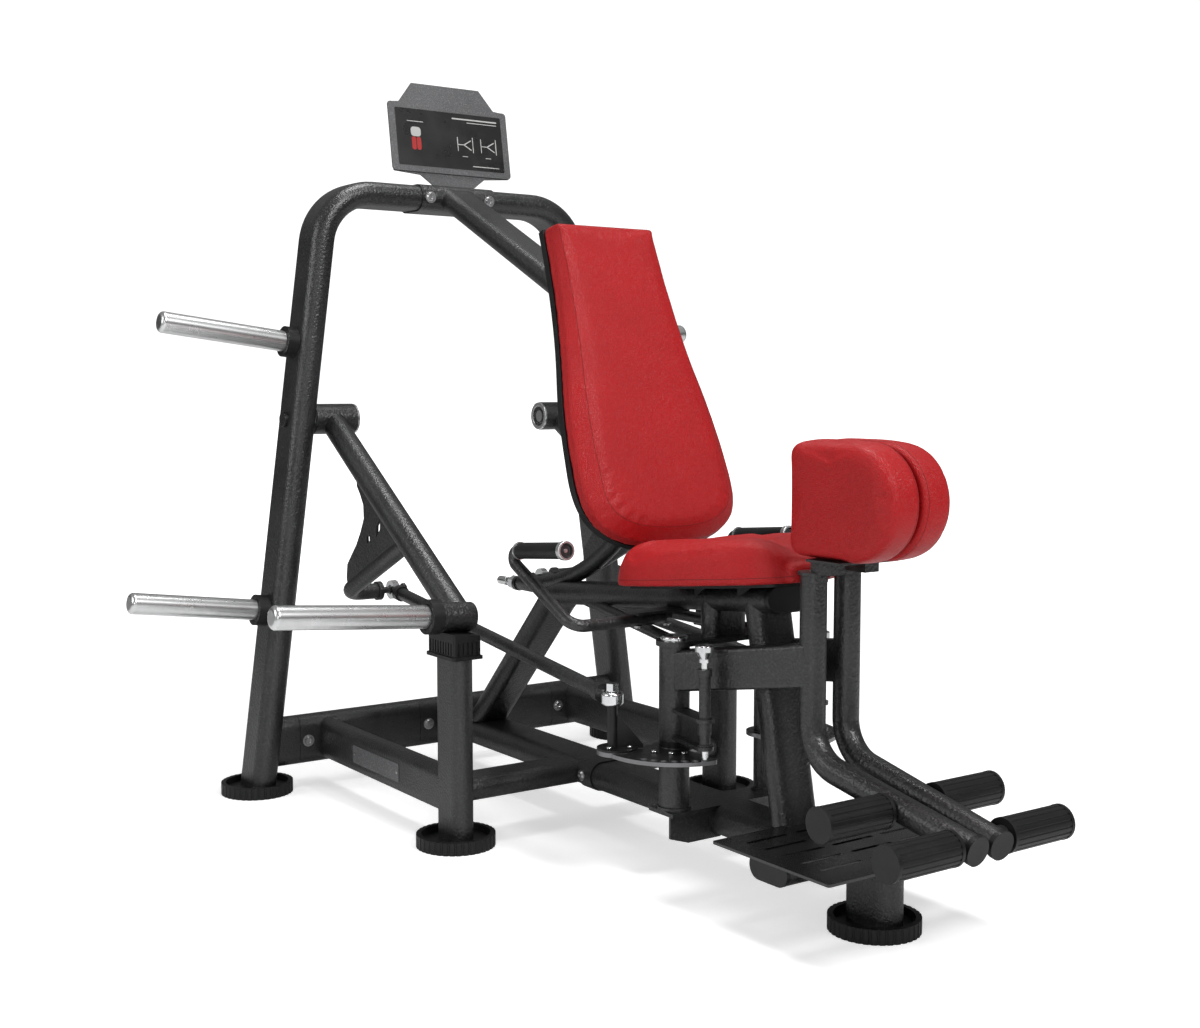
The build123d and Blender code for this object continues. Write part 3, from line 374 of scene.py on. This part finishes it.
def seam(name, pad, route, body, radius=0.0007):
    """Sewn seam: a thin welt laid on the pad's skin along a closed route."""
    mesh = evaluated(pad)
    tree = BVHTree.FromPolygons([v.co for v in mesh.vertices], [tuple(p.vertices) for p in mesh.polygons])
    spots = []
    for point in route:
        place, normal, _, _ = tree.find_nearest(Vector(point))
        spots.append((place - normal * radius * 0.35, normal))
    count, around = len(spots), 8
    points, faces = [], []
    for i, (place, normal) in enumerate(spots):
        run = (spots[(i + 1) % count][0] - spots[i - 1][0]).normalized()
        side = run.cross(normal).normalized()
        for k in range(around):
            turn = 2 * math.pi * k / around
            points.append(place + (side * math.cos(turn) + normal * math.sin(turn)) * radius)
    for i in range(count):
        j = (i + 1) % count
        for k in range(around):
            m = (k + 1) % around
            faces.append((i * around + k, j * around + k, j * around + m, i * around + m))
    bpy.data.meshes.remove(mesh)
    welt_mesh = bpy.data.meshes.new(name)
    welt_mesh.from_pydata([tuple(p) for p in points], [], faces)
    for polygon in welt_mesh.polygons:
        polygon.use_smooth = True
    welt = placed(name, welt_mesh)
    paint(welt, THREAD)
    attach(welt, body)


def thigh_cushion(side, sign):
    """D-shaped pad: flat rear edge, round nose, outer face rolled over at the rim.

    The layers are pairs, in mm: distance from the machine's middle plane, and how far the outline is
    pulled in there."""
    nose, middle, radius, rear, corner = 1.539, 0.775, 0.1065, 1.3745, 0.028
    turns = np.linspace(-math.pi / 2, math.pi / 2, 40)
    ring = [(nose + radius * math.cos(t), middle + radius * math.sin(t)) for t in turns]
    for start, z in ((math.pi / 2, middle + radius - corner), (math.pi, middle - radius + corner)):
        ring += [(rear + corner + corner * math.cos(t), z + corner * math.sin(t))
                 for t in np.linspace(start, start + math.pi / 2, 9)]
    ring = spaced(np.array(ring), 150)
    layers = [(4.5, 9), (6.5, 4), (12, 0.8), (24, 0), (42, 0), (56, 0.2),
              (65, 2.2), (71, 6), (74.5, 11), (76, 17), (76.4, 24)]

    def place(flat, depth):
        depth = np.broadcast_to(depth, (len(flat),))
        return np.stack([sign * depth, ARCH_Y - flat[:, 0], flat[:, 1]], 1)

    rings = [place(pulled_in(ring, inset / 1000), depth / 1000) for depth, inset in layers]
    heart = np.array([[1.505, middle]])
    inner, outer = pulled_in(ring, layers[0][1] / 1000), pulled_in(ring, layers[-1][1] / 1000)
    rings = [place(heart + (inner - heart) * k, 0.0045) for k in (0.3, 0.65)] + rings
    rings += [place(heart + (outer - heart) * k, 0.0768) for k in (0.8, 0.55, 0.3)]
    pad = shell(f"thigh_cushion_{side}", rings, place(heart, 0.0045), place(heart, 0.077))
    even_skin(pad, 0.005, 2)
    puff(pad, lambda p: np.abs(p[:, 0]) < 0.009, 0.0035)
    finish_pad(pad, f"{side}_arm", f"thigh_pad_{side}")
    seam(f"thigh_seam_{side}", pad, place(pulled_in(ring, -0.001), 0.013), f"{side}_arm")


def backrest_cushion():
    """Tall pad: flat bevelled face on a swelling outline, set on its board."""
    lean = math.radians(22.1)
    foot = np.array([0, ARCH_Y - 0.9707, 0.661])
    normal, up = np.array([0, -math.cos(lean), math.sin(lean)]), np.array([0, math.sin(lean), math.cos(lean)])
    half = [(0, 728), (118, 728), (130, 727), (133, 716), (136, 660), (144, 558), (155, 480), (167, 406),
            (182, 332), (192, 260), (197.5, 194), (199.5, 140), (197, 98), (182, 58), (152, 30), (108, 10),
            (50, 1), (0, 0)]
    points = half + [(-x, y) for x, y in reversed(half[1:-1])]
    ring = spaced(rounded(np.array(points) / 1000, 2), 260)

    def inset(ring, deep):
        side = np.interp(ring[:, 1], mm(0, 60, 150, 330, 560, 700, 728), mm(30, 34, 37, 29, 14, 8, 5))
        return pulled_in(ring, side * deep)

    def place(flat, depth):
        depth = np.broadcast_to(depth, (len(flat),))[:, None]
        return foot + flat[:, :1] * np.array([1.0, 0, 0]) + flat[:, 1:] * up - depth * normal

    rings = [place(pulled_in(ring, 0.003), 0.0535), place(pulled_in(ring, 0.0008), 0.051),
             place(ring, 0.044), place(ring, 0.032)]
    bevel = ((0.05, 0.0265), (0.3, 0.0195), (0.62, 0.011), (0.9, 0.0042), (1.0, 0.0022))
    rings += [place(inset(ring, share), depth) for share, depth in bevel]
    face, heart = inset(ring, 1.0), np.array([[0.0, 0.33]])
    for share, bulge in ((0.9, 0.0012), (0.7, 0.0004), (0.45, 0.0), (0.2, 0.0)):
        rings.append(place(heart + (face - heart) * share, bulge))
    rear = pulled_in(ring, 0.003)
    rings = [place(heart + (rear - heart) * k, 0.0535) for k in (0.35, 0.7)] + rings
    pad = shell("backrest_cushion", rings, place(heart, 0.0535), place(heart, -0.0003))
    even_skin(pad, 0.0055, 1)
    puff(pad, lambda p: -((p - foot) @ normal) > 0.046, 0.003)
    finish_pad(pad, "frame", "backrest_pad")
    seam("backrest_seam", pad, place(inset(ring, 0.97), 0.002), "frame")


def seat_cushion():
    """Scooped pad: full rear corners, two thigh lobes, a sharper edge forward, a low tongue in front."""
    lean = math.radians(5.3)
    middle = 1190.0  # mm, station of the pad's own origin
    frame_station, frame_height = 700.0, 519  # mm, a point on the seat frame's centre line
    height = frame_height + math.tan(lean) * (middle - frame_station)
    origin = np.array([0, ARCH_Y - middle / 1000, height / 1000])
    back, up = np.array([0, math.cos(lean), -math.sin(lean)]), np.array([0, math.sin(lean), math.cos(lean)])
    half = [(0, 201), (110, 201), (160, 200), (184, 192), (190, 172), (187.5, 110), (178, 62), (166, 16),
            (150, -40), (132, -92), (108, -138), (72, -170), (34, -180), (0, -181)]
    points = half + [(-x, y) for x, y in reversed(half[1:-1])]
    ring = spaced(rounded(np.array(points) / 1000, 2), 220)

    def edge(v):
        return np.interp(v, mm(-181, -165, -150, -124, -76, 13, 60, 101, 150, 201),
                         mm(84, 92, 101, 108, 108, 103, 98, 92, 84, 78))

    def crown(flat):
        u, v = np.abs(flat[:, 0]), flat[:, 1]
        top = np.interp(v, mm(-181, -150, -120, -60, 20, 80, 130, 165, 185, 201),
                        mm(88, 103, 110, 111, 111, 113, 118, 119, 115, 105))
        forward = np.clip((0.10 - v) / 0.09, 0, 1)
        lobe = 0.009 * np.exp(-(((u - 0.085) / 0.045) ** 2)) * forward
        valley = 0.013 * np.exp(-((u / 0.032) ** 2)) * np.clip((0.15 - v) / 0.08, 0, 1)
        return top + lobe - valley

    def place(flat, lift):
        lift = np.broadcast_to(lift, (len(flat),))[:, None]
        return origin + flat[:, :1] * np.array([1.0, 0, 0]) + flat[:, 1:] * back + lift * up

    rim = edge(ring[:, 1])
    low = 0.034
    rings = [place(pulled_in(ring, 0.004), low), place(pulled_in(ring, 0.0008), low + 0.003),
             place(ring, low + 0.012)]
    for share, inset in ((0.35, 0.0012), (0.7, 0.004), (0.9, 0.0065), (1.0, 0.009)):
        rings.append(place(pulled_in(ring, inset), low + (rim - low) * share))
    for inset, share in ((0.016, 0.45), (0.028, 0.76), (0.044, 0.94), (0.06, 1.0)):
        flat = pulled_in(ring, inset)
        rings.append(place(flat, rim + (crown(flat) - rim) * share))
    inner, heart = pulled_in(ring, 0.06), np.array([[0.0, 0.02]])
    for share in (0.8, 0.6, 0.4, 0.2):
        flat = heart + (inner - heart) * share
        rings.append(place(flat, crown(flat)))
    base = pulled_in(ring, 0.004)
    rings = [place(heart + (base - heart) * k, low) for k in (0.35, 0.7)] + rings
    pad = shell("seat_cushion", rings, place(heart, low), place(heart, crown(heart)))

    tip = [(-0.058, -0.1), (-0.060, -0.165), (-0.046, -0.1935),
           (0.046, -0.1935), (0.060, -0.165), (0.058, -0.1)]
    tongue = spaced(rounded(tip, 2), 60)
    middle_point = np.array([[0.0, -0.15]])
    nose_rings = [place(pulled_in(tongue, inset), low + lift) for inset, lift in (
        (0.003, 0.0003), (0, 0.004), (0, 0.026), (0.006, 0.036), (0.016, 0.041))]
    under, over = place(middle_point, low + 0.0003), place(middle_point, low + 0.043)
    nose = shell("seat_tongue", nose_rings, under, over)
    both = bmesh.new()
    both.from_mesh(pad.data)
    both.from_mesh(nose.data)
    both.to_mesh(pad.data)
    both.free()
    bpy.data.objects.remove(nose)
    even_skin(pad, 0.005, 3)
    puff(pad, lambda p: (p - origin) @ up < low + 0.008, 0.0035)
    finish_pad(pad, "frame", "seat_pad")
    seam("seat_seam", pad, place(pulled_in(ring, -0.001), low + 0.013), "frame")


for side, sign in SIDES:
    thigh_cushion(side, sign)
backrest_cushion()
seat_cushion()


# ---- placard and plates --------------------------------------------------------------------------
def flat_piece(name, outlines, origin, across, up, normal, thick, material, body="frame"):
    """Thin plate pieces with eased edges: outlines in metres on a plane."""
    grid = bmesh.new()
    for outline in outlines:
        low = [grid.verts.new(Vector(origin) + Vector(across) * x + Vector(up) * y) for x, y in outline]
        face = grid.faces.new(low)
        raised = bmesh.ops.extrude_face_region(grid, geom=[face])
        tops = [item for item in raised["geom"] if isinstance(item, bmesh.types.BMVert)]
        bmesh.ops.translate(grid, verts=tops, vec=Vector(normal) * thick)
    bmesh.ops.recalc_face_normals(grid, faces=grid.faces)
    mesh = bpy.data.meshes.new(name)
    grid.to_mesh(mesh)
    grid.free()
    obj = placed(name, mesh)
    ease = obj.modifiers.new("ease", "BEVEL")
    ease.width = thick * 0.3
    ease.segments = 2
    paint(obj, material)
    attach(obj, body)


def rounded_box(x0, y0, x1, y1, radius, steps=6):
    """Outline of a box with round corners."""
    points = []
    left, right, low, high = x0 + radius, x1 - radius, y0 + radius, y1 - radius
    for cx, cy, start in ((right, high, 0), (left, high, 90), (left, low, 180), (right, low, 270)):
        for k in range(steps + 1):
            turn = math.radians(start + 90 * k / steps)
            points.append((cx + radius * math.cos(turn), cy + radius * math.sin(turn)))
    return points


def bar(start, end, width):
    """Rounded stroke between two points."""
    (x0, y0), (x1, y1) = start, end
    base = math.atan2(y1 - y0, x1 - x0)
    points = []
    for cx, cy, lead in ((x1, y1, base - math.pi / 2), (x0, y0, base + math.pi / 2)):
        turns = [lead + math.pi * k / 6 for k in range(7)]
        points += [(cx + width / 2 * math.cos(turn), cy + width / 2 * math.sin(turn)) for turn in turns]
    return points


def placard():
    """Black printed field with plain strokes where the real one has a diagram. No words."""
    lean = math.radians(9.2)
    across, up = Vector((1, 0, 0)), Vector((0, math.sin(lean), math.cos(lean)))
    normal = Vector((0, -math.cos(lean), math.sin(lean)))
    origin = Vector((0, ARCH_Y - 0.028 - 0.0032 / math.cos(lean), 1.445 + 0.030 + 0.0035)) + normal * 0.004
    field = [rounded_box(-0.152, 0.046, 0.152, 0.190, 0.004)]
    flat_piece("placard_field", field, origin, across, up, normal, 0.0005, FACE)
    ink = origin + normal * 0.0005
    strokes = [bar((0.010, 0.176), (0.138, 0.176), 0.0035), bar((0.052, 0.168), (0.138, 0.168), 0.002)]
    for base in (0.038, 0.106):
        strokes += [bar((base - 0.018, 0.094), (base - 0.018, 0.128), 0.0022),
                    bar((base - 0.018, 0.110), (base, 0.110), 0.0022),
                    bar((base, 0.110), (base + 0.020, 0.122), 0.0026),
                    bar((base, 0.110), (base + 0.020, 0.098), 0.0026),
                    bar((base + 0.026, 0.092), (base + 0.026, 0.130), 0.0022),
                    bar((base - 0.006, 0.080), (base + 0.008, 0.080), 0.0018)]
    strokes += [rounded_box(-0.112, 0.120, -0.084, 0.144, 0.008),
                bar((-0.120, 0.158), (-0.076, 0.158), 0.002),
                bar((0.060, 0.056), (0.136, 0.056), 0.0022)]
    flat_piece("placard_strokes", strokes, ink, across, up, normal, 0.0003, PRINT)
    marks = [rounded_box(left, 0.086, left + 0.012, 0.119, 0.0055) for left in (-0.111, -0.097)]
    flat_piece("placard_mark", marks, ink, across, up, normal, 0.0003, PRINT_RED)


BEAM_X, BEAM_HALF = 0.363, 0.025  # centre line and half width of a side beam


def beam_plates():
    """Plain plate on the outer face of each side beam, held by two small rivets."""
    for side, sign in SIDES:
        face = sign * (BEAM_X + BEAM_HALF)
        origin = Vector((face, ARCH_Y - 0.330, 0.115))
        across, up, normal = Vector((0, sign, 0)), Vector((0, 0, 1)), Vector((sign, 0, 0))
        outline = rounded_box(-0.115, -0.021, 0.115, 0.021, 0.004)
        flat_piece(f"blank_plate_{side}", [outline], origin, across, up, normal, 0.0012, GREY)
        turns = np.linspace(0, 2 * math.pi, 20, endpoint=False)
        rivets = [[(middle + 0.0032 * math.cos(t), 0.0032 * math.sin(t)) for t in turns]
                  for middle in (-0.106, 0.106)]
        top = origin + normal * 0.0012
        flat_piece(f"plate_rivets_{side}", rivets, top, across, up, normal, 0.0008, ZINC)


DISC_CENTRE = np.array([-0.123, ARCH_Y - 1.107])  # axis of the left disc
LOBE_SCREWS, SECTOR_SCREWS = (60, 200, 300), (228, 248, 200)  # degrees from +X, left side


def turned(centre, radius, angle):
    """The point at that radius and angle, in degrees, around a centre."""
    return centre + radius * np.array([math.cos(math.radians(angle)), math.sin(math.radians(angle))])


def disc_screws():
    """A bright domed cap over each screw head on the selector discs, riding its own disc."""
    lobe = turned(DISC_CENTRE, 0.117, 160)
    spots = [(turned(DISC_CENTRE, 0.072, angle), 0.0064, DISC_TOP + 0.0008) for angle in SECTOR_SCREWS]
    spots += [(turned(lobe, 0.027, angle), 0.0054, DISC_TOP + 0.0058) for angle in LOBE_SCREWS]
    for side, sign in SIDES:
        grid = bmesh.new()
        for centre, wide, base in spots:
            x, y = -sign * centre[0], centre[1]
            profile = [(wide, 0.0), (wide, 0.0030), (0.92 * wide, 0.0038), (0.66 * wide, 0.0046),
                       (0.3 * wide, 0.0050)]
            turns = [math.tau * k / 20 for k in range(20)]
            rings = [[grid.verts.new((x + r * math.cos(turn), y + r * math.sin(turn), base + h))
                      for turn in turns] for r, h in profile]
            for low, high in zip(rings, rings[1:]):
                for k in range(20):
                    grid.faces.new((low[k], low[(k + 1) % 20], high[(k + 1) % 20], high[k]))
            grid.faces.new(rings[-1])
            grid.faces.new(list(reversed(rings[0])))
        bmesh.ops.recalc_face_normals(grid, faces=grid.faces)
        mesh = bpy.data.meshes.new(f"disc_screws_{side}")
        grid.to_mesh(mesh)
        grid.free()
        for polygon in mesh.polygons:
            polygon.use_smooth = True
        obj = placed(f"disc_screws_{side}", mesh)
        paint(obj, TRIM)
        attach(obj, f"{side}_disc")


placard()
beam_plates()
disc_screws()


# ---- stage --------------------------------------------------------------------------------------
LIGHTS_AIM = (0, 0, 0.7)
LIGHTS = (  # name, place, size of the square lamp in metres, power in watts
    ("key", (0.3, -5.0, 4.6), 1.2, 200),
    ("fill", (-3.6, -3.4, 1.6), 0.9, 24),
    ("top", (0.2, 0.4, 5.0), 1.6, 110),
    ("rim", (-4.6, 1.0, 2.6), 2.4, 60),
)
LENS, SENSOR = 46.63, 36.0  # mm
CAMERA_PLACE = (-1.9765, -2.6389, 0.98285)
CAMERA_AZIMUTH, CAMERA_ELEVATION = math.radians(-34.952), math.radians(4.777)  # direction it is seen in


def build_floor():
    """A wide pale floor that glows a little for the camera, more so far away, where it meets the white."""
    mesh = bpy.data.meshes.new("floor")
    far = 60.0
    mesh.from_pydata([(-far, -far, 0), (far, -far, 0), (far, far, 0), (-far, far, 0)], [], [(0, 1, 2, 3)])
    floor = placed("floor", mesh)
    g = Graph("floor_white")
    speckle = g.noise(3.0, 3.0)
    away = g.add("ShaderNodeVectorMath", {0: g.place}, operation="LENGTH").outputs["Value"]
    seen = g.add("ShaderNodeLightPath").outputs["Is Camera Ray"]
    glow = g.math("MULTIPLY", seen, g.ramp(away, 2.0, 5.0, 0.55, 1.3))
    tone = g.mix(speckle, rgb(0.84, 0.84, 0.84), rgb(0.87, 0.87, 0.87))
    g.set(Base_Color=tone, Roughness=0.6, Specular_IOR_Level=0.3, Emission_Color=rgb(1, 1, 1),
          Emission_Strength=glow)
    paint(floor, g.material)


def build_world():
    """White to the camera. Other rays meet a soft sky with a dark band just above the horizon."""
    world = bpy.data.worlds.new("studio")
    scene.world = world
    world.use_nodes = True
    tree = world.node_tree
    back = tree.nodes["Background"]
    place = tree.nodes.new("ShaderNodeTexCoord")
    split = tree.nodes.new("ShaderNodeSeparateXYZ")
    tree.links.new(place.outputs["Generated"], split.inputs[0])
    ramp = tree.nodes.new("ShaderNodeValToRGB")
    stops = ramp.color_ramp.elements
    stops[0].position, stops[0].color = 0.40, (0.55, 0.55, 0.55, 1)
    stops[1].position, stops[1].color = 0.90, (1, 1, 1, 1)
    for position, level in ((0.485, 0.45), (0.51, 0.10), (0.56, 0.12), (0.63, 0.62)):
        stop = stops.new(position)
        stop.color = (level, level, level, 1)
    lift = tree.nodes.new("ShaderNodeMapRange")
    lift.inputs["From Min"].default_value = -1.0
    tree.links.new(split.outputs["Z"], lift.inputs["Value"])
    tree.links.new(lift.outputs[0], ramp.inputs[0])
    ray = tree.nodes.new("ShaderNodeLightPath")
    pick = tree.nodes.new("ShaderNodeMix")
    pick.data_type = "RGBA"
    pick.inputs[7].default_value = (4.0, 4.0, 4.0, 1)
    tree.links.new(ray.outputs["Is Camera Ray"], pick.inputs[0])
    tree.links.new(ramp.outputs[0], pick.inputs[6])
    tree.links.new(pick.outputs[2], back.inputs["Color"])
    back.inputs["Strength"].default_value = 0.30


def build_lights():
    target = Vector(LIGHTS_AIM)
    for name, spot, size, power in LIGHTS:
        data = bpy.data.lights.new(name, "AREA")
        data.size = size
        data.energy = power
        lamp = bpy.data.objects.new(name, data)
        lamp.location = spot
        lamp.rotation_mode = "QUATERNION"
        lamp.rotation_quaternion = (target - Vector(spot)).to_track_quat("-Z", "Y")
        scene.collection.objects.link(lamp)


def build_camera():
    camera = bpy.data.objects.new("camera", bpy.data.cameras.new("camera"))
    scene.collection.objects.link(camera)
    camera.data.lens = LENS
    camera.data.sensor_width = SENSOR
    camera.location = CAMERA_PLACE
    level = math.cos(CAMERA_ELEVATION)
    way_back = Vector((math.sin(CAMERA_AZIMUTH) * level, -math.cos(CAMERA_AZIMUTH) * level,
                       math.sin(CAMERA_ELEVATION)))
    camera.rotation_mode = "QUATERNION"
    camera.rotation_quaternion = (-way_back).to_track_quat("-Z", "Y")
    scene.camera = camera
    scene.view_settings.view_transform = "Standard"
    scene.view_settings.look = "None"


build_floor()
build_world()
build_lights()
build_camera()
